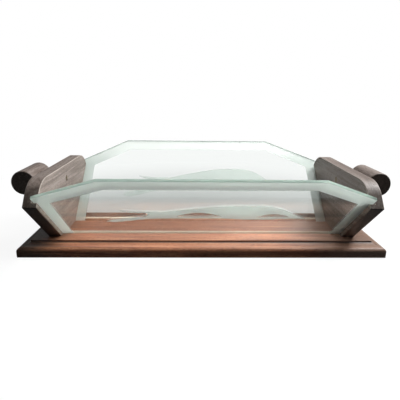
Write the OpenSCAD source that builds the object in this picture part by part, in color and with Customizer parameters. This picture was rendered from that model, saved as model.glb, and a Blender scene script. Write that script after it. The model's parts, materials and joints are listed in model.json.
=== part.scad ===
// Open tabletop display case: two sloping glass panes stand in grooves between two
// wooden ends on a moulded base, and a short round handle sits on a neck at each end.
// Units are millimetres. X runs along the length, Y from front to back, Z upwards.
// The origin is at the middle of the felt's underside.

/* [Base] */
// Length of the base at its nose
base_l = 448; // [380:1:560]
// Depth of the base at its nose, from front to back
base_w = 146; // [120:1:200]
// Thickness of the base board
base_t = 15.2; // [14:0.1:24]
// Width of the moulded ledge round the raised field, nose to riser, at the front and back
ledge_w = 18.5; // [12:0.5:24]
// Width of the moulded ledge at the two ends
ledge_l = 11; // [9:0.5:24]
// Height of the rounded nose above the underside
nose_h = 12; // [9:0.1:12.5]
// Radius of the nose's upper edge
nose_r = 4.5; // [2:0.1:6]
// Height of the riser between the ledge and the raised field
riser_h = 1.8; // [0.6:0.1:1.9]
// Depth of the ledge's hollow
cove_d = 0.9; // [0.3:0.1:1.6]
// Width of the flat between the nose and the hollow
nose_flat = 1; // [0.4:0.1:2]
// Thickness of the felt under the base
felt_t = 1; // [0.5:0.1:3]
// Distance from the nose to the felt's edge
felt_inset = 3; // [2:0.5:12]

/* [Ends] */
// Distance between the inner faces of the two ends
inner_l = 360; // [300:1:380]
// Thickness of each end
end_t = 16; // [14:0.5:22]
// Depth of an end where it stands on the base, front to back
end_foot_w = 82; // [76:1:100]
// Depth of an end at its front and back corners
end_corner_w = 214; // [190:1:240]
// Height of those corners above the base
end_corner_h = 58; // [50:1:70]
// Depth of an end's top edge, measured to the sharp corners under the shoulders' curve
end_top_w = 173; // [150:1:184]
// Height of an end above the base
end_h = 84; // [76:1:100]
// Radius of the shoulders
shoulder_r = 36; // [10:1:40]

/* [Panes] */
// Thickness of the glass
pane_t = 3.5; // [2.5:0.1:6]
// Lean of each pane from the vertical, in degrees
pane_tilt = 49; // [44:0.5:54]
// Distance from the middle of the base to a pane's outer face, at the base's surface
pane_foot = 30.5; // [27:0.5:36]
// Height of a pane's top edge above the base
pane_h = 95.5; // [80:0.5:120]
// Height of a pane's end corners above the base
pane_corner_h = 69; // [60:0.5:80]
// Length of a pane's top edge
pane_top_l = 227; // [150:1:300]
// How far the top edge lies off the pane's middle, towards the right as seen from outside
pane_top_shift = 5.5; // [0:0.5:12]
// How far a pane goes into the base, along its own slope
pane_seat = 6; // [5:0.5:8]
// How far a pane's edge goes into each end
pane_edge_in = 5; // [4:0.5:7]
// Gap on each side of a pane's thickness in its groove
groove_play = 0.25; // [0.1:0.05:0.5]
// Gap between a pane's end and the bottom of the groove
groove_end_gap = 1.5; // [0.5:0.1:2]

/* [Handles] */
// Diameter of a handle
handle_d = 30.5; // [24:0.5:38]
// Length of a handle, front to back
handle_l = 58; // [45:1:120]
// Height of a handle's axis above the base
handle_h = 66; // [50:1:72]
// Gap between a handle and its end
handle_gap = 14; // [8:0.5:30]
// Width of the chamfer round a handle's flat faces
handle_chamfer = 0.8; // [0.3:0.1:2]
// Diameter of the neck
neck_d = 18; // [12:0.5:22]
// How far the neck goes into the end
neck_in_end = 4; // [2:0.5:6]
// How far the neck goes into the handle, from the handle's nearest line
neck_in_handle = 6; // [4:0.5:8]

/* [Fasteners] */
// Diameter of the wood screws' shank
screw_d = 4; // [3:0.1:4.5]
// Diameter of the screws' countersunk head
screw_head_d = 8; // [6:0.1:9]
// Height of the countersunk head
screw_head_h = 2.4; // [1.8:0.1:3]
// Length of the screws that hold an end to the base
end_screw_l = 35; // [28:1:45]
// Distance between the two screws of an end
end_screw_gap = 52; // [46:1:58]
// How far a handle's screw goes into the handle
handle_screw_in = 16; // [10:1:20]
// Diameter of the locating dowels
dowel_d = 5; // [4:0.5:6]
// Length of the locating dowels
dowel_l = 18; // [14:1:22]
// Distance between the two dowels of an end
dowel_gap = 24; // [18:1:30]
// Gap round a dowel, a neck or a screw in its hole
glue_gap = 0.1; // [0.05:0.01:0.2]

/* [Hidden] */
$fn = 96;

rosewood = [0.36, 0.20, 0.15];
base_wood = [0.52, 0.30, 0.21];
dowel_wood = [0.78, 0.62, 0.42];
glass = [0.75, 0.88, 0.84, 0.5];
brass = [0.32, 0.25, 0.16];
felt_green = [0.16, 0.24, 0.17];

LEFT = -1;
RIGHT = 1;
FRONT = -1;
BACK = 1;
big = 400;

// Height of the base's upper face
top_z = felt_t + base_t;
// Height of the ledge at the foot of the riser, above the underside of the board
ledge_h = base_t - riser_h;
inner_x = inner_l / 2;
outer_x = inner_x + end_t;
groove_in = pane_edge_in + groove_end_gap;
pane_half_l = inner_x + pane_edge_in;
// A length along a pane's slope for each unit of height
slope = 1 / cos(pane_tilt);
// The fasteners of an end stand in the middle of the wood behind the groove
fastener_x = inner_x + groove_in + (end_t - groove_in) / 2;
handle_r = handle_d / 2;
handle_x = outer_x + handle_gap + handle_r;
handle_z = top_z + handle_h;
handle_screw_l = end_t + handle_gap + handle_screw_in;
neck_l = neck_in_end + handle_gap + neck_in_handle;
screw_tip_l = 1.5 * screw_d;

// ---- Base -------------------------------------------------------------------------

// Section of the plank under the field: its upper edges are rounded into a nose
module nose_section(width) {
    inner = width - 2 * nose_r;
    translate([-width / 2, 0]) square([width, nose_h - nose_r]);
    translate([-inner / 2, 0]) square([inner, nose_h]);
    for (side = [FRONT, BACK]) translate([side * inner / 2, nose_h - nose_r]) circle(nose_r);
}

module nosed_plank() {
    intersection() {
        translate([0, base_w / 2, 0]) rotate([90, 0, 0])
            linear_extrude(base_w) nose_section(base_l);
        translate([-base_l / 2, 0, 0]) rotate([90, 0, 90])
            linear_extrude(base_l) nose_section(base_w);
    }
}

// A hollow between two points of a section, each [distance from the middle, height]
function hollow_r(high, low) = pow(norm(low - high), 2) / (8 * cove_d) + cove_d / 2;
function hollow_centre(high, low) =
    let (across = (low - high) / norm(low - high))
    (high + low) / 2 + (hollow_r(high, low) - cove_d) * [-across[1], across[0]];

// The cutter for the hollows along two opposite sides, running along Y
module hollow_cutters(half, ledge, run) {
    high = [half - ledge, ledge_h];
    low = [half - nose_r - nose_flat, nose_h];
    centre = hollow_centre(high, low);
    for (side = [LEFT, RIGHT]) translate([side * centre[0], run, centre[1]])
        rotate([90, 0, 0]) cylinder(r = hollow_r(high, low), h = 2 * run);
}

// The lower part of the ledge's rise, up to the middle of each hollow
module ledge_block() {
    half_l = base_l / 2 - (ledge_l + nose_r + nose_flat) / 2;
    half_w = base_w / 2 - (ledge_w + nose_r + nose_flat) / 2;
    translate([-half_l, -half_w, 0]) cube([2 * half_l, 2 * half_w, base_t]);
}

// The raised field stands on a nosed plank, with hollows round its foot
module moulded_board() {
    field = [base_l - 2 * ledge_l, base_w - 2 * ledge_w, base_t];
    difference() {
        union() {
            nosed_plank();
            ledge_block();
        }
        hollow_cutters(base_l / 2, ledge_l, base_w);
        rotate([0, 0, 90]) hollow_cutters(base_w / 2, ledge_w, base_l);
    }
    translate([-field[0] / 2, -field[1] / 2, 0]) cube(field);
}

module base() {
    color(base_wood) difference() {
        translate([0, 0, felt_t]) moulded_board();
        for (side = [FRONT, BACK]) pane_groove(side);
        for (end = [LEFT, RIGHT], side = [FRONT, BACK]) {
            end_screw_place(end, side) screw_hole(end_screw_l);
            dowel_place(end, side) dowel_hole();
        }
    }
}

module felt() {
    size = [base_l - 2 * felt_inset, base_w - 2 * felt_inset, felt_t];
    color(felt_green) translate([-size[0] / 2, -size[1] / 2, 0]) cube(size);
}

// ---- Ends -------------------------------------------------------------------------

// Half of an end's outline as corners: foot, front corner, shoulder and middle of the top
function end_corners() = [
    [end_foot_w / 2, 0], [end_corner_w / 2, end_corner_h], [end_top_w / 2, end_h], [0, end_h],
];

// Outline of an end, Y across and Z up, with each shoulder a true arc
module end_outline() {
    c = end_corners();
    into = (c[1] - c[2]) / norm(c[1] - c[2]);
    half_turn = acos(into * [-1, 0]) / 2;
    reach = shoulder_r / tan(half_turn);
    low = c[2] + reach * into;
    high = c[2] - [reach, 0];
    for (side = [0, 1]) mirror([side, 0]) {
        polygon([[0, 0], c[0], c[1], low, high, c[3]]);
        intersection() {
            translate(high - [0, shoulder_r]) circle(shoulder_r, $fn = 192);
            polygon([[0, 0], c[0], c[1], c[2], c[3]]);
        }
    }
}

module end_panel(end) {
    color(rosewood) difference() {
        translate([end == LEFT ? -outer_x : inner_x, 0, top_z])
            rotate([90, 0, 90]) linear_extrude(end_t) end_outline();
        for (side = [FRONT, BACK]) {
            pane_groove(side);
            end_screw_place(end, side) screw_hole(end_screw_l);
            dowel_place(end, side) dowel_hole();
        }
        handle_screw_place(end) screw_hole(handle_screw_l);
        neck_place(end) cylinder(d = neck_d + 2 * glue_gap, h = neck_in_end + big);
    }
}

// ---- Panes ------------------------------------------------------------------------

// Frame of a pane: X along it, Z up its slope and Y inwards, from its outer face at the base
module pane_place(side) {
    rotate([0, 0, side == FRONT ? 0 : 180])
        translate([0, -pane_foot, top_z]) rotate([pane_tilt, 0, 0]) children();
}

module pane_groove(side) {
    half = inner_x + groove_in;
    pane_place(side) translate([-half, -groove_play, -pane_seat])
        cube([2 * half, pane_t + 2 * groove_play, big]);
}

module pane(side) {
    top = pane_h * slope;
    corner = pane_corner_h * slope;
    top_left = pane_top_shift - pane_top_l / 2;
    top_right = pane_top_shift + pane_top_l / 2;
    color(glass) pane_place(side) translate([0, pane_t, 0]) rotate([90, 0, 0])
        linear_extrude(pane_t) polygon([
            [-pane_half_l, -pane_seat], [pane_half_l, -pane_seat], [pane_half_l, corner],
            [top_right, top], [top_left, top], [-pane_half_l, corner],
        ]);
}

// ---- Handles ----------------------------------------------------------------------

// Z points outwards along a handle's own axis line, from the inner face of its end
module handle_screw_place(end) {
    translate([end * inner_x, 0, handle_z]) rotate([0, end * 90, 0]) children();
}

module neck_place(end) {
    translate([end * (outer_x - neck_in_end), 0, handle_z]) rotate([0, end * 90, 0]) children();
}

module handle(end) {
    color(rosewood) difference() {
        translate([end * handle_x, handle_l / 2, handle_z]) rotate([90, 0, 0]) chamfered_rod();
        neck_place(end) cylinder(d = neck_d + 2 * glue_gap, h = neck_l);
        handle_screw_place(end) screw_hole(handle_screw_l);
    }
}

module chamfered_rod() {
    small_r = handle_r - handle_chamfer;
    cylinder(r1 = small_r, r2 = handle_r, h = handle_chamfer);
    translate([0, 0, handle_chamfer]) cylinder(r = handle_r, h = handle_l - 2 * handle_chamfer);
    translate([0, 0, handle_l - handle_chamfer]) cylinder(r1 = handle_r, r2 = small_r, h = handle_chamfer);
}

module handle_neck(end) {
    color(rosewood) difference() {
        neck_place(end) cylinder(d = neck_d, h = neck_l);
        handle_screw_place(end) screw_hole(handle_screw_l);
    }
}

// ---- Fasteners --------------------------------------------------------------------

// A screw's head is flush at Z 0 and its point is up, at the given length
module wood_screw(length) {
    color(brass) difference() {
        union() {
            cylinder(d1 = screw_head_d, d2 = screw_d, h = screw_head_h);
            translate([0, 0, screw_head_h])
                cylinder(d = screw_d, h = length - screw_head_h - screw_tip_l);
            translate([0, 0, length - screw_tip_l])
                cylinder(d1 = screw_d, d2 = screw_d / 8, h = screw_tip_l);
        }
        translate([-screw_head_d, -screw_d / 8, -screw_d / 4])
            cube([2 * screw_head_d, screw_d / 4, screw_d / 2]);
    }
}

// The countersink is the head's own cone moved out by the gap
module screw_hole(length) {
    cylinder(d1 = screw_head_d + 2 * glue_gap, d2 = screw_d + 2 * glue_gap, h = screw_head_h);
    cylinder(d = screw_d + 2 * glue_gap, h = length + glue_gap);
}

module end_screw_place(end, side) {
    translate([end * fastener_x, side * end_screw_gap / 2, felt_t]) children();
}

module dowel_place(end, side) {
    translate([end * fastener_x, side * dowel_gap / 2, top_z - dowel_l / 2]) children();
}

module dowel() {
    color(dowel_wood) cylinder(d = dowel_d, h = dowel_l);
}

module dowel_hole() {
    cylinder(d = dowel_d + 2 * glue_gap, h = dowel_l);
}

// ---- Assembly ---------------------------------------------------------------------

base();
felt();
end_panel(LEFT);  // left_end
end_panel(RIGHT);  // right_end
pane(FRONT);  // front_pane
pane(BACK);  // back_pane
handle(LEFT);  // left_handle
handle(RIGHT);  // right_handle
handle_neck(LEFT);  // left_handle_neck
handle_neck(RIGHT);  // right_handle_neck
handle_screw_place(LEFT) wood_screw(handle_screw_l);  // left_handle_screw
handle_screw_place(RIGHT) wood_screw(handle_screw_l);  // right_handle_screw
end_screw_place(LEFT, FRONT) wood_screw(end_screw_l);  // left_end_screw_front
end_screw_place(LEFT, BACK) wood_screw(end_screw_l);  // left_end_screw_back
end_screw_place(RIGHT, FRONT) wood_screw(end_screw_l);  // right_end_screw_front
end_screw_place(RIGHT, BACK) wood_screw(end_screw_l);  // right_end_screw_back
dowel_place(LEFT, FRONT) dowel();  // left_end_dowel_front
dowel_place(LEFT, BACK) dowel();  // left_end_dowel_back
dowel_place(RIGHT, FRONT) dowel();  // right_end_dowel_front
dowel_place(RIGHT, BACK) dowel();  // right_end_dowel_back
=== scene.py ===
# %% [markdown]
# # An open tabletop display case
# Two sloping panes of etched glass stand in grooves between two dark wooden ends, on a
# moulded base of redder wood. The construction kit gives every part at its true size and
# place. This lesson gives each part its softened edges and its finish, then lights it.

# %% Load the case
import json
import math

import bmesh
import bpy
from mathutils import Matrix, Vector

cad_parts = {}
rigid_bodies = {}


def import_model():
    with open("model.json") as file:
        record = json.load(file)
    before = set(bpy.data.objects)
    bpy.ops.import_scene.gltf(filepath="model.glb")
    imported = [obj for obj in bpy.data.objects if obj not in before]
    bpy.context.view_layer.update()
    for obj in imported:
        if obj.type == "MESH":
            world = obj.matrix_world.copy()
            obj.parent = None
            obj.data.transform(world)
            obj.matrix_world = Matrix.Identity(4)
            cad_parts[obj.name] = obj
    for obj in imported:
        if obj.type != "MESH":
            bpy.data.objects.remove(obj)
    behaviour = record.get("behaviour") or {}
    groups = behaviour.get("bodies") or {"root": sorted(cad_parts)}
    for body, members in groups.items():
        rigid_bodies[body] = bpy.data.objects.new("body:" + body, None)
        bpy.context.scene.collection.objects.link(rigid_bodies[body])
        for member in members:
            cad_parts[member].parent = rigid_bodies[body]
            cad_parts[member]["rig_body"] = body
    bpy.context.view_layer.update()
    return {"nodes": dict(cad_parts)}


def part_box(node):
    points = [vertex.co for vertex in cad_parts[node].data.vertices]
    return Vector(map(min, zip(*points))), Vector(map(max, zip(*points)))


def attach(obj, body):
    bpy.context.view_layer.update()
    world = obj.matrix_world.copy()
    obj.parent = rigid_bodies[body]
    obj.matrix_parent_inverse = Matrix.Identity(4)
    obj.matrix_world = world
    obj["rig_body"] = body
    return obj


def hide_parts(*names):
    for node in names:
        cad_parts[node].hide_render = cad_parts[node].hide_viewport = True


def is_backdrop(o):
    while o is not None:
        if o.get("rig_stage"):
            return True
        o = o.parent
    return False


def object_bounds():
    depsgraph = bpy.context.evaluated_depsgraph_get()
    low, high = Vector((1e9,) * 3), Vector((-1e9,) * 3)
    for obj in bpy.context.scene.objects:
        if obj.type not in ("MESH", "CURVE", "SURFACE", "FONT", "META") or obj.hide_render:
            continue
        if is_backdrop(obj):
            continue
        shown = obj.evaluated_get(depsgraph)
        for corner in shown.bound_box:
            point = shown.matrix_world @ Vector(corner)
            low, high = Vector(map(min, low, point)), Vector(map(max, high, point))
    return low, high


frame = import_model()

MM = 0.001

# %% [markdown]
# ## Measures that the shapes and the finishes share
# The panes lean out from the base, so their patterns are laid out in each pane's own flat
# measure: along it, and up its slope. The few numbers that this needs are kept here.
# Patterns are worked out in millimetres, because that is how a stencil would be drawn.

# %% The panes' slope and the heights on the case
field_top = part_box("base")[1].z
pane_lean = math.radians(49)
pane_foot = 30.5 * MM
pane_thick = 3.5 * MM
handle_height = (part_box("left_handle")[0].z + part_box("left_handle")[1].z) / 2
end_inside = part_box("right_end")[0].x
end_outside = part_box("right_end")[1].x
stencil_half = 185
stencil_top = 95.5 / math.cos(pane_lean)
stencil_corner = 69 / math.cos(pane_lean)
border_width = 17.5
ledge_end_width, ledge_side_width = 11 * MM, 18.5 * MM
ledge_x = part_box("base")[1].x - ledge_end_width
ledge_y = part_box("base")[1].y - ledge_side_width
WHITE = (1, 1, 1, 1)
print("field top %.1f mm, handle axis %.1f mm" % (field_top / MM, handle_height / MM))

# %% [markdown]
# ## Shader sums as plain Python
# A finish is mostly arithmetic on textures. Each Math node could be added and wired by
# hand, but then the sums are hard to read. One small class wraps a socket, so that
# `1 - mask` or `grain * 0.3 + 0.4` adds the nodes by itself.


# %% A socket that Python can do sums on
class Shade:
    def __init__(self, finish, socket):
        self.finish = finish
        self.socket = socket

    def sum(self, operation, first, second=None):
        sockets = {0: first} if second is None else {0: first, 1: second}
        return self.finish.node("ShaderNodeMath", {"operation": operation}, sockets)

    def __add__(self, other):
        return self.sum("ADD", self, other)

    def __radd__(self, other):
        return self.sum("ADD", other, self)

    def __sub__(self, other):
        return self.sum("SUBTRACT", self, other)

    def __rsub__(self, other):
        return self.sum("SUBTRACT", other, self)

    def __mul__(self, other):
        return self.sum("MULTIPLY", self, other)

    def __rmul__(self, other):
        return self.sum("MULTIPLY", other, self)

    def __truediv__(self, other):
        return self.sum("DIVIDE", self, other)

    def __neg__(self):
        return self.sum("MULTIPLY", self, -1.0)

    def __abs__(self):
        return self.sum("ABSOLUTE", self)

    def least(self, other):
        return self.sum("MINIMUM", self, other)

    def most(self, other):
        return self.sum("MAXIMUM", self, other)

    def ramp(self, start, end, low=0.0, high=1.0):
        """An eased step from low at start to high at end."""
        settings = {"interpolation_type": "SMOOTHSTEP", "clamp": True}
        sockets = {0: self, 1: start, 2: end, 3: low, 4: high}
        return self.finish.node("ShaderNodeMapRange", settings, sockets)


print("sums ready")

# %% [markdown]
# ## A finish and its nodes
# Every other node comes from one method: its type, the settings that have to come first,
# and then what goes into its sockets, as a value or as a link. The same class serves for
# the world, which has nodes of its own.


# %% A new finish
class Finish:
    def __init__(self, name, kind=bpy.data.materials):
        self.owner = kind.new(name)
        self.owner.use_nodes = True
        self.tree = self.owner.node_tree
        self.tree.nodes.clear()

    def node(self, kind, settings=None, sockets=None, output=0):
        made = self.tree.nodes.new(kind)
        for name, value in (settings or {}).items():
            setattr(made, name, value)
        for name, value in (sockets or {}).items():
            if isinstance(value, Shade):
                self.tree.links.new(value.socket, made.inputs[name])
            else:
                made.inputs[name].default_value = value
        return Shade(self, made.outputs[output]) if made.outputs else None

    def mix(self, share, first, second):
        """Colour first where share is 0 and second where it is 1."""
        sockets = {0: share, 6: first, 7: second}
        return self.node("ShaderNodeMix", {"data_type": "RGBA"}, sockets, 2)

    def blend(self, share, first, second):
        """The same for two shaders."""
        return self.node("ShaderNodeMixShader", None, {0: share, 1: first, 2: second})

    def place(self, scale=(1, 1, 1), shift=(0, 0, 0)):
        """Object coordinates, stretched and shifted."""
        here = self.node("ShaderNodeTexCoord", output="Object")
        sockets = {"Vector": here, "Scale": scale, "Location": shift}
        return self.node("ShaderNodeMapping", None, sockets)

    def noise(self, where, scale, detail=3.0, rough=0.5, bend=0.0):
        sockets = {"Vector": where, "Scale": scale, "Detail": detail}
        sockets.update({"Roughness": rough, "Distortion": bend})
        return self.node("ShaderNodeTexNoise", None, sockets, "Fac")

    def part(self, vector, axis):
        """One of a vector's three numbers."""
        return self.node("ShaderNodeSeparateXYZ", None, {0: vector}, axis)

    def ray(self, kind):
        """1 for rays of this kind and 0 for the others."""
        return self.node("ShaderNodeLightPath", output="Is %s Ray" % kind)

    def bump(self, height, strength, distance):
        sockets = {"Height": height, "Strength": strength, "Distance": distance}
        return self.node("ShaderNodeBump", None, sockets)

    def surface(self, **sockets):
        named = {name.replace("_", " "): value for name, value in sockets.items()}
        return self.node("ShaderNodeBsdfPrincipled", None, named, "BSDF")

    def show(self, shader, output="ShaderNodeOutputMaterial"):
        self.node(output, None, {"Surface": shader})
        return self.owner


print("finishes ready")

# %% [markdown]
# ## Oiled wood
# The case is made of dense tropical wood with a satin oil finish. Long soft bands follow
# the grain, fine streaks lie in them, and short open pores break the sheen. End grain
# drinks the oil and goes darker, and where it faces down it is painted darker still, as
# painted shade. The pattern is solid: it is a field in space stretched along the grain, so
# it runs round every edge as it does in a real board. The base's left end and the strip
# along its back are painted darker and its right end paler: painted shade and a painted
# reflection. The cove at the foot of its field has painted shade too, and the ends' upper
# edges have a painted pale highlight.


# %% The wood finish
def stretched(grain, along, across):
    """A pattern's scale, long the way the grain runs."""
    return tuple(along if axis == grain else across for axis in "xyz")


def darker(colour, share):
    return tuple(share * c for c in colour[:3]) + (1,)


def wood(name, grain, dark, mid, light, shift, end_grain_shade_share=0.95, sheen=0.40, light_and_shade=None):
    f = Finish(name)
    bands = f.noise(f.place(stretched(grain, 5, 60), shift), 1.0, 2.0, 0.5, 1.2)
    streaks = f.noise(f.place(stretched(grain, 14, 420), shift), 1.0, 3.0, 0.6)
    pores = f.noise(f.place(stretched(grain, 150, 1900), shift), 1.0, 1.0, 0.4)
    dashes = f.noise(f.place(stretched(grain, 150, 560), shift), 1.0, 2.0, 0.6)
    clouds = f.noise(f.place(stretched(grain, 6, 14), shift), 1.0, 2.0)
    tone = f.mix(bands.ramp(0.32, 0.68), dark, mid)
    tone = f.mix(streaks.ramp(0.45, 0.75) * 0.7, tone, light)
    tone = f.mix(streaks.ramp(0.48, 0.30) * 0.75, tone, dark)
    tone = f.mix(clouds.ramp(0.35, 0.7) * 0.45, tone, dark)
    tone = f.mix(dashes.ramp(0.56, 0.68) * 0.6, tone, dark)
    facing = f.node("ShaderNodeTexCoord", output="Normal")
    if light_and_shade:
        tone = light_and_shade(f, tone, bands, facing)
    open_pores = pores.ramp(0.60, 0.70)
    tone = f.mix(open_pores * 0.6, tone, darker(dark, 0.3))
    along = f.part(facing, "xyz".index(grain))
    upward = f.part(facing, 2)
    # End grain is darker in its own colour; where it faces down it is painted darker still,
    # which is painted shade.
    end_grain_and_shade = abs(along).ramp(0.45, 0.75) * upward.ramp(0.4, -0.3, 0.4, 1.0)
    tone = f.mix(end_grain_and_shade * end_grain_shade_share, tone, darker(dark, 0.1))
    rough = streaks * 0.16 + open_pores * 0.2 + end_grain_and_shade * 0.15 + (sheen - 0.08)
    relief = f.bump(1 - open_pores * 0.8 - streaks * 0.3, 0.35, 0.15 * MM)
    return f.show(
        f.surface(Base_Color=tone, Roughness=rough, Normal=relief, Specular_IOR_Level=0.35)
    )


# The pale colour of the painted highlight on the ends' upper edges.
EDGE_HIGHLIGHT_PALE = (0.66, 0.58, 0.52, 1)
# The pale colour of the painted reflection at the base's right end.
PAINTED_REFLECTION_PALE = (0.46, 0.36, 0.29, 1)
# The dark brown of the painted shade on the base.
PAINTED_SHADE_BROWN = (0.040, 0.032, 0.026, 1)


def painted_edge_highlight(f, tone, bands, facing):
    """The ends' upward-facing edges are painted paler: a painted highlight."""
    sideways = abs(f.part(facing, 0))
    on_edge = sideways.ramp(0.2, 0.45) * sideways.ramp(0.97, 0.85)
    highlight_share = on_edge * f.part(facing, 2).ramp(-0.1, 0.3) * 0.75
    return f.mix(highlight_share, tone, EDGE_HIGHLIGHT_PALE)


def base_light_and_shade(f, tone, bands, facing):
    """Painted shade at the left end, along the back and in the cove; a painted reflection at
    the right end.
    """
    x, y, z = (f.part(f.place(), axis) for axis in range(3))
    ragged = x + bands * 0.05
    # Paler towards the right end: a painted reflection.
    tone = f.mix(ragged.ramp(0.13, 0.24) * 0.5, tone, PAINTED_REFLECTION_PALE)
    # Darker at the left end and along the back: painted shade.
    left_end = ragged.ramp(-0.12, -0.19)
    back_strip = y.ramp(34 * MM, 46 * MM) * 0.65
    # Darker on the riser and in the cove at the foot of the field: painted shade.
    depth = field_top - z
    on_ledge = depth.ramp(0.8 * MM, 1.2 * MM) * depth.ramp(2.9 * MM, 2.3 * MM)
    past_long_side, past_end = abs(y) - ledge_y, abs(x) - ledge_x
    long_cove = abs(past_long_side).ramp(7 * MM, 0.0) * past_end.ramp(3 * MM, 0.0)
    end_cove = abs(past_end).ramp(5 * MM, 0.0) * past_long_side.ramp(3 * MM, 0.0)
    cove_shade = long_cove.most(end_cove) * on_ledge
    shade_share = left_end.most(back_strip).most(cove_shade) * 0.8
    return f.mix(shade_share, tone, PAINTED_SHADE_BROWN)


end_tones = ((0.15, 0.110, 0.090, 1), (0.31, 0.250, 0.218, 1), (0.47, 0.40, 0.36, 1))
base_tones = ((0.16, 0.052, 0.026, 1), (0.36, 0.135, 0.066, 1), (0.56, 0.27, 0.15, 1))
left_wood = wood("dark_wood_left_end", "y", *end_tones, (0.0, 0.3, 0.1), light_and_shade=painted_edge_highlight)
right_wood = wood("dark_wood_right_end", "y", *end_tones, (0.7, 0.1, 0.4), light_and_shade=painted_edge_highlight)
handle_wood = wood("dark_wood_handles", "y", *end_tones, (0.2, 0.9, 0.6), 0.7)
neck_wood = wood("dark_wood_necks", "x", *end_tones, (0.4, 0.2, 0.8))
base_wood = wood("red_wood_base", "x", *base_tones, (0.1, 0.5, 0.2), 0.5, 0.40, base_light_and_shade)
beech_tones = ((0.45, 0.30, 0.16, 1), (0.6, 0.43, 0.26, 1), (0.7, 0.54, 0.35, 1))
dowel_wood = wood("beech_dowels", "z", *beech_tones, (0, 0, 0))
print("woods", [m.name for m in bpy.data.materials])

# %% [markdown]
# ## Brass screws and felt
# The screws' brass has aged nearly to black: a warm dark metal with blotches and scratches. The
# felt under the base is pressed wool, matt, with short fibres lying every way.

# %% Brass and felt
f = Finish("aged_brass")
blotches = f.noise(f.place(), 180.0, 4.0, 0.6)
scratches = f.noise(f.place((1, 1, 14)), 900.0, 2.0)
tarnish = blotches.ramp(0.35, 0.7)
brass = f.show(
    f.surface(
        Base_Color=f.mix(tarnish, (0.20, 0.14, 0.08, 1), (0.08, 0.055, 0.035, 1)),
        Metallic=1.0,
        Roughness=tarnish * 0.25 + scratches * 0.2 + 0.22,
        Normal=f.bump(scratches, 0.2, 0.05 * MM),
    )
)
f = Finish("green_felt")
fibres = f.noise(f.place(), 1400.0, 4.0, 0.7, 2.0)
tufts = f.noise(f.place(), 160.0, 3.0)
felt = f.show(
    f.surface(
        Base_Color=f.mix(
            fibres.ramp(0.35, 0.65) * 0.7 + tufts * 0.3,
            (0.020, 0.050, 0.028, 1),
            (0.050, 0.105, 0.062, 1),
        ),
        Roughness=0.95,
        Sheen_Weight=0.4,
        Normal=f.bump(fibres, 0.6, 0.3 * MM),
    )
)
print("brass and felt ready")

# %% [markdown]
# ## Etched glass
# Each pane is clear float glass. A border along its sides, cut corners and top has been
# sandblasted through a stencil, and so has a long rolling wave with two hollows under it
# and two thin tails. A stencil is a yes-or-no mask, so the mask is worked out with sums in
# the pane's own flat measure, in millimetres, and it mixes clear glass with blasted glass.
# Only the outer face is blasted: there, light scatters inside the glass and comes out
# pale and even. Its colour is painted darker low on each pane and paler high on it, and
# darker on the back pane than on the front, which is painted shade. The pane's own edges
# are ground. Lamps shine through, as they do through a thin pane.


# %% The pane's flat measure and the border's mask
def flat_measure(f, side):
    """Along the pane, up its slope, and in from its outer face, in millimetres."""
    here = f.node("ShaderNodeTexCoord", output="Object")
    x, y, z = (f.part(here, axis) / MM for axis in range(3))
    out = side * y - pane_foot / MM
    up = z - field_top / MM
    lean_sin, lean_cos = math.sin(pane_lean), math.cos(pane_lean)
    return x, out * lean_sin + up * lean_cos, up * lean_sin - out * lean_cos


def border(f, along, up, left, right):
    """Two masks: a band along the sides, cut corners and top, and the very edge."""
    inside = (stencil_half - abs(along)).least(stencil_top - up)
    for start, sign in ((left, -1), (right, 1)):
        run, rise = stencil_half - abs(start), stencil_top - stencil_corner
        length = math.hypot(run, rise)
        past = (sign * along - abs(start)) * (rise / length)
        past = past + (up - stencil_top) * (run / length)
        inside = inside.least(-past)
    return inside.ramp(border_width + 0.4, border_width - 0.4), inside.ramp(0.45, 0.25)


print("border mask ready")

# %% [markdown]
# The wave is drawn as heights over the pane's length. Its back climbs slowly and drops
# faster, the two hollows are low arches, and each tail is a thin line that swells towards
# the wave.


# %% The wave's mask
def wave(along, up):
    edge = 0.5

    def line(middle, half):
        return (half - abs(up - middle)).ramp(-edge, edge) * half.ramp(0.1, 0.7)

    back = 62 + 27 * along.ramp(-110, 45) * along.ramp(130, 62)
    back = back - 9 * along.ramp(86, 120)
    belly = 53.0 - 3.5 * (along.ramp(15, 50) * along.ramp(110, 72))
    body = (back - up).ramp(-edge, edge) * (up - belly).ramp(-edge, edge)
    body = body * (along + abs(up - 63) * 0.9 + 64).ramp(-1, 1) * along.ramp(121, 119)
    for middle, half, base, height in ((-6, 27, 58, 11), (81, 20, 57, 9)):
        reach = (along - middle) / half
        arch = base + height * (1 - reach * reach)
        hollow = (arch - up).ramp(-edge, edge) * (up - base).ramp(-edge, edge)
        body = body * (1 - hollow)
    low_line = 42 + 13.5 * along.ramp(-122, -52)
    low_half = 4.2 * along.ramp(-119, -106) * along.ramp(20, -60)
    dip = (-72 - along).most(0.0) / 27
    high_line = 70 + 6 * dip * dip
    high_half = 1.9 * along.ramp(-101, -80) * along.ramp(-40, -60)
    return body.most(line(low_line, low_half)).most(line(high_line, high_half))


print("wave mask ready")


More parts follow.
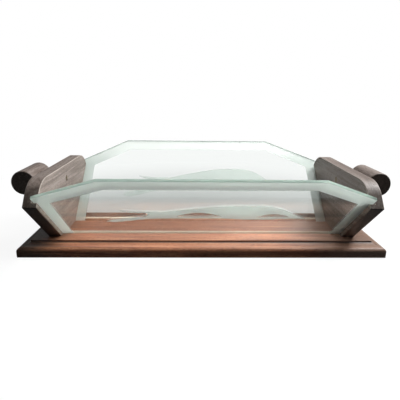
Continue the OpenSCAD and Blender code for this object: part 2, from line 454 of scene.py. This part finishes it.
# %% The glass finish
def etched_glass(name, side, top_left, top_right, blasted_shade_to_light):
    f = Finish(name)
    along, up, deep = flat_measure(f, side)
    band, edge = border(f, along, up, top_left, top_right)
    mask = band.most(wave(along, up)) * deep.ramp(1.2, 0.6)
    cloud = f.noise(f.place(), 30.0, 2.0)
    blasted = f.surface(
        # The blasted colour is painted darker low on the pane and paler high on it: painted
        # shade.
        Base_Color=f.mix(up.ramp(92, 135) * 0.85 + cloud * 0.15, *blasted_shade_to_light),
        Roughness=0.85,
        Transmission_Weight=0.35,
        Subsurface_Weight=1.0,
        Subsurface_Radius=(1, 1, 1),
        Subsurface_Scale=8 * MM,
        IOR=1.3,
    )
    ground = f.surface(
        Base_Color=(0.36, 0.48, 0.42, 1),
        Roughness=0.35,
        Transmission_Weight=0.6,
        IOR=1.4,
    )
    clear = f.surface(
        Base_Color=(0.95, 0.975, 0.96, 1),
        Roughness=0.02,
        Transmission_Weight=1.0,
        IOR=1.5,
    )
    glass = f.blend(edge, f.blend(mask, clear, blasted), ground)
    pass_clear = f.node("ShaderNodeBsdfTransparent", None, {0: (0.86, 0.89, 0.87, 1)})
    pass_blasted = f.node("ShaderNodeBsdfTransparent", None, {0: (0.5, 0.52, 0.5, 1)})
    pass_lamps = f.blend(mask, pass_clear, pass_blasted)
    return f.show(f.blend(f.ray("Shadow"), glass, pass_lamps))


# The back pane's blasted glass is painted darker than the front's: painted shade.
front_shade_to_light = ((0.79, 0.86, 0.81, 1), (0.85, 0.93, 0.87, 1))
back_shade_to_light = ((0.55, 0.60, 0.57, 1), (0.84, 0.86, 0.84, 1))
front_glass = etched_glass("etched_glass_front", -1, -108, 119, front_shade_to_light)
back_glass = etched_glass("etched_glass_back", 1, -119, 108, back_shade_to_light)
print("glass ready")

# %% [markdown]
# ## Softened edges
# No worked edge is perfectly sharp: a maker breaks each one with sandpaper, and the light
# catches the little round. A copy of the built part is welded, its flat faces are joined
# into whole ones, and its outward edges get a small rounded bevel.


# %% A copy with softened edges
def softened(node, name, finish, width, skip=lambda middle: False, glass=False):
    body = frame["nodes"][node]["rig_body"]
    work = bmesh.new()
    work.from_mesh(frame["nodes"][node].data)
    bmesh.ops.remove_doubles(work, verts=work.verts, dist=0.002 * MM)
    flat = math.radians(0.4)
    bmesh.ops.dissolve_limit(work, angle_limit=flat, verts=work.verts, edges=work.edges)
    sharp = [
        e
        for e in work.edges
        if e.is_manifold
        and e.is_convex
        and e.calc_face_angle() > math.radians(24)
        and not skip((e.verts[0].co + e.verts[1].co) / 2)
    ]
    bmesh.ops.bevel(
        work,
        geom=sharp,
        offset=width,
        offset_type="OFFSET",
        affect="EDGES",
        segments=1 if glass else 3,
        profile=0.5,
        clamp_overlap=True,
        material=-1,
    )
    return finished(work, name, finish, body, [node], not glass)


def finished(work, name, finish, body, stands_for, rounded=True):
    for face in work.faces:
        face.smooth = rounded
    mesh = bpy.data.meshes.new(name)
    work.to_mesh(mesh)
    work.free()
    mesh.materials.append(finish)
    piece = bpy.data.objects.new(name, mesh)
    bpy.context.scene.collection.objects.link(piece)
    if rounded:
        mesh.set_sharp_from_angle(angle=math.radians(40))
        even = piece.modifiers.new("even_shading", "WEIGHTED_NORMAL")
        even.keep_sharp = True
    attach(piece, body)
    if stands_for:
        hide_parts(*stands_for)
    print(name, len(mesh.polygons), "faces")
    return piece


# %% [markdown]
# ## The two ends and the base
# The ends are broad boards, so their edges are broken by about a millimetre. The holes for
# the screw and the neck stay as bored, and so does the face that is glued to the base.


# %% Ends and base
neck_clearance = 13 * MM


def end_hole_or_foot(middle):
    bored = math.hypot(middle.y, middle.z - handle_height) < neck_clearance
    return bored or middle.z < field_top + 1.2 * MM


for node, finish in (("left_end", left_wood), ("right_end", right_wood)):
    softened(node, node + "_board", finish, 1.1 * MM, end_hole_or_foot)


def under_the_ends(middle):
    hidden = end_inside - 4 * MM < abs(middle.x) < end_outside
    hidden = hidden and middle.z > field_top - 1 * MM
    bored = middle.z < 12 * MM and abs(middle.x) < 200 * MM and abs(middle.y) < 40 * MM
    return hidden or bored


softened("base", "moulded_base", base_wood, 0.5 * MM, under_the_ends)

# %% [markdown]
# ## The panes
# The glass has ground edges: a narrow flat along each arris, which is a bevel of one step.
# These flats catch the bright and dark lines that show where a pane ends. Glass is shaded
# flat, because rounded shading would bend what is seen through it.

# %% Panes
for place, etched in (("front", front_glass), ("back", back_glass)):
    name = place + "_glass_pane"
    softened(place + "_pane", name, etched, 0.5 * MM, glass=True)

# %% [markdown]
# ## Glazing beads
# A fine bead of pale putty lies along the far foot of each pane and closes the play in its
# groove. Its pale colour also stands in for the bright line of light along the foot, as a
# painted highlight. It is a thin rod with a rounded top: one edge, extruded along the case,
# with its upper corners bevelled.

# %% Beads
f = Finish("pale_putty")
lumps = f.noise(f.place((60, 900, 900)), 1.0, 3.0)
putty_highlight = f.show(
    f.surface(
        # The pale colour stands in for the bright line of light at each pane's foot: a painted
        # highlight.
        Base_Color=f.mix(lumps, (0.74, 0.69, 0.57, 1), (0.95, 0.91, 0.80, 1)),
        Roughness=0.6,
        Normal=f.bump(lumps, 0.4, 0.3 * MM),
    )
)


def glazing_bead_highlight(name, near_y, width, height):
    work = bmesh.new()
    bmesh.ops.create_cube(work, size=1.0)
    size = Vector((2 * end_inside - 0.4 * MM, width, height))
    bmesh.ops.scale(work, vec=size, verts=work.verts)
    middle = Vector((0, near_y + width / 2, field_top + height / 2))
    bmesh.ops.translate(work, vec=middle, verts=work.verts)
    ridge = [e for e in work.edges if min(v.co.z for v in e.verts) > field_top + height / 2]
    bmesh.ops.bevel(
        work,
        geom=[e for e in ridge if abs(e.verts[0].co.x - e.verts[1].co.x) > width],
        offset=0.4 * min(width, height),
        affect="EDGES",
        segments=3,
        profile=0.5,
        material=-1,
    )
    return finished(work, name, putty_highlight, "case", [])


through = pane_thick / math.cos(pane_lean)
glazing_bead_highlight("front_glazing_bead", through - pane_foot + 0.05 * MM, 2.2 * MM, 3.2 * MM)
glazing_bead_highlight("back_glazing_bead", pane_foot + 1.9 * MM, 2.2 * MM, 1.5 * MM)


# %% [markdown]
# ## Handles and necks
# The handles are turned bars with a chamfer at each end. The necks are turned too, with a
# waist between two small shoulders. A turned shape is a profile spun round its axis.


# %% Handles and necks
def handle_bore(middle):
    return abs(middle.y) < 12 * MM


for hand, sign in (("left", -1), ("right", 1)):
    name = hand + "_handle_bar"
    softened(hand + "_handle", name, handle_wood, 0.6 * MM, handle_bore)
    low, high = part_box(hand + "_handle_neck")
    start = min(abs(low.x), abs(high.x))
    length = high.x - low.x
    inner, outer, full = 4.0, length / MM - 6.0, length / MM
    middle = (inner + outer) / 2
    waist = [(0.0, 9.0), (inner, 9.0), (inner + 0.3, 9.6), (inner + 1.3, 9.6)]
    waist += [(inner + 2.2, 8.6), (inner + 4.0, 7.6), (middle, 7.2), (outer - 4.0, 7.6)]
    waist += [(outer - 2.2, 8.6), (outer - 1.3, 9.6), (outer - 0.3, 9.6), (full, 9.0)]
    work = bmesh.new()
    points = [work.verts.new((at * MM, radius * MM, 0)) for at, radius in waist]
    ends = [work.verts.new((at * MM, 0, 0)) for at in (waist[0][0], waist[-1][0])]
    for first, second in zip([ends[0]] + points, points + [ends[1]]):
        work.edges.new((first, second))
    bmesh.ops.spin(
        work,
        geom=work.verts[:] + work.edges[:],
        cent=(0, 0, 0),
        axis=(1, 0, 0),
        angle=math.tau,
        steps=48,
        use_merge=True,
    )
    bmesh.ops.remove_doubles(work, verts=work.verts, dist=0.001 * MM)
    turn = Matrix.Rotation(math.pi, 4, "Z") if sign < 0 else Matrix.Identity(4)
    place = Matrix.Translation((sign * start, 0, handle_height)) @ turn
    bmesh.ops.transform(work, matrix=place, verts=work.verts)
    bmesh.ops.recalc_face_normals(work, faces=work.faces)
    name = hand + "_turned_neck"
    finished(work, name, neck_wood, "case", [hand + "_handle_neck"])

# %% [markdown]
# ## Parts that keep their built shape
# The screws, dowels and felt need no softening. They take their finishes as they are.

# %% Small parts
for node, part in frame["nodes"].items():
    if "screw" in node or "dowel" in node or node == "felt":
        kind = brass if "screw" in node else dowel_wood if "dowel" in node else felt
        part.data.materials.clear()
        part.data.materials.append(kind)
        print(node, kind.name)

# %% [markdown]
# ## Floor and backdrop
# The case stands on a plain white table. To the camera the floor is white with the case's
# soft shadow on it. Through the glass it is painted greyer near the case, a painted shadow,
# and it is faintly seen in reflections. To other rays it is a dim grey, so that little light
# comes up under the case and the sloping ends stay dark below.

# %% Floor and world
f = Finish("white_table")
seen = f.ray("Camera").most(f.ray("Transmission")).most(f.ray("Glossy") * 0.22)
from_case = f.node("ShaderNodeVectorMath", {"operation": "LENGTH"}, {0: f.place()}, "Value")


def lit_floor(white_share, glow_level):
    """A white floor that shows shadows, with a level glow so that it looks white."""
    grey = (white_share, white_share, white_share, 1)
    matt = f.node("ShaderNodeBsdfDiffuse", None, {0: grey})
    glow = f.node("ShaderNodeEmission", None, {0: WHITE, 1: glow_level})
    return f.node("ShaderNodeAddShader", None, {0: matt, 1: glow})


dim = f.node("ShaderNodeBsdfDiffuse", None, {0: (0.04, 0.04, 0.04, 1)})
white_light = f.node("ShaderNodeEmission", None, {0: WHITE, 1: 1.0})
direct = f.blend(from_case.ramp(0.28, 0.55), lit_floor(0.12, 0.92), white_light)
# Seen through the glass the floor is greyer near the case: a painted shadow.
through_glass_painted_shadow = f.blend(from_case.ramp(0.05, 0.56), lit_floor(0.30, 0.22), white_light)
shown = f.blend(f.ray("Camera"), through_glass_painted_shadow, direct)
table = f.show(f.blend(seen, dim, shown))
work = bmesh.new()
bmesh.ops.create_grid(work, x_segments=1, y_segments=1, size=6.0)
mesh = bpy.data.meshes.new("table_top")
work.to_mesh(mesh)
work.free()
mesh.materials.append(table)
floor = bpy.data.objects.new("table_top", mesh)
bpy.context.scene.collection.objects.link(floor)
floor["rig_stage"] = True

f = Finish("studio", bpy.data.worlds)
seen = f.ray("Camera").most(f.ray("Glossy") * 0.28).most(f.ray("Transmission"))
ambient = f.node("ShaderNodeBackground", None, {0: (0.95, 0.97, 1.0, 1), 1: 0.035})
white = f.node("ShaderNodeBackground", None, {0: WHITE, 1: 1.0})
sky = f.show(f.blend(seen, ambient, white), "ShaderNodeOutputWorld")
bpy.context.scene.world = sky
print("floor and world ready")

# %% [markdown]
# ## Lamps
# The main light is a soft window, high on the right, which lights the left end's inner
# face and the tops. A broader one, higher and behind, fills in from above. A weak one in
# front keeps the near faces from going black, and does not show in the glass.


# %% Lamps
def soft_lamp(name, place, size, power, in_reflections=True):
    data = bpy.data.lights.new(name, "AREA")
    data.shape = "DISK"
    data.size = size
    data.energy = power
    lamp = bpy.data.objects.new(name, data)
    bpy.context.scene.collection.objects.link(lamp)
    lamp.location = place
    lamp.rotation_euler = Vector(place).to_track_quat("Z", "Y").to_euler()
    lamp.visible_glossy = in_reflections
    lamp.visible_transmission = False
    print(name, power, "W")


soft_lamp("window", (0.75, 0.15, 0.85), 0.45, 11.5)
soft_lamp("ceiling", (0.45, 0.70, 1.25), 0.7, 10.0)
soft_lamp("front_fill", (-0.3, -1.4, 0.5), 1.0, 0.15, False)

# %% [markdown]
# ## Camera
# The case is seen from just left of its middle, from a little above. The camera turns right
# by a hair, looks down, and rolls slightly.

# %% Camera
camera_data = bpy.data.cameras.new("camera")
camera_data.sensor_width = 36.0
camera_data.lens = 34.92
camera = bpy.data.objects.new("camera", camera_data)
bpy.context.scene.collection.objects.link(camera)
turn_right, look_down, roll = 0.0259, 0.2857, -0.0119
ahead = Vector(
    (
        math.sin(turn_right) * math.cos(look_down),
        math.cos(turn_right) * math.cos(look_down),
        -math.sin(look_down),
    )
)
level = Vector((math.cos(turn_right), -math.sin(turn_right), 0))
down = ahead.cross(level)
across = math.cos(roll) * level + math.sin(roll) * down
upright = math.sin(roll) * level - math.cos(roll) * down
stand_at = Vector((-16.1, -505.1, 201.1)) * MM
turned = Matrix((across, upright, -ahead)).transposed().to_4x4()
camera.matrix_world = Matrix.Translation(stand_at) @ turned
bpy.context.scene.camera = camera
bpy.context.scene.view_settings.view_transform = "Standard"
print("camera ready")

# %% Print the size of what is drawn
low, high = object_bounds()
print("visual", [round(size / MM, 1) for size in high - low], "mm")
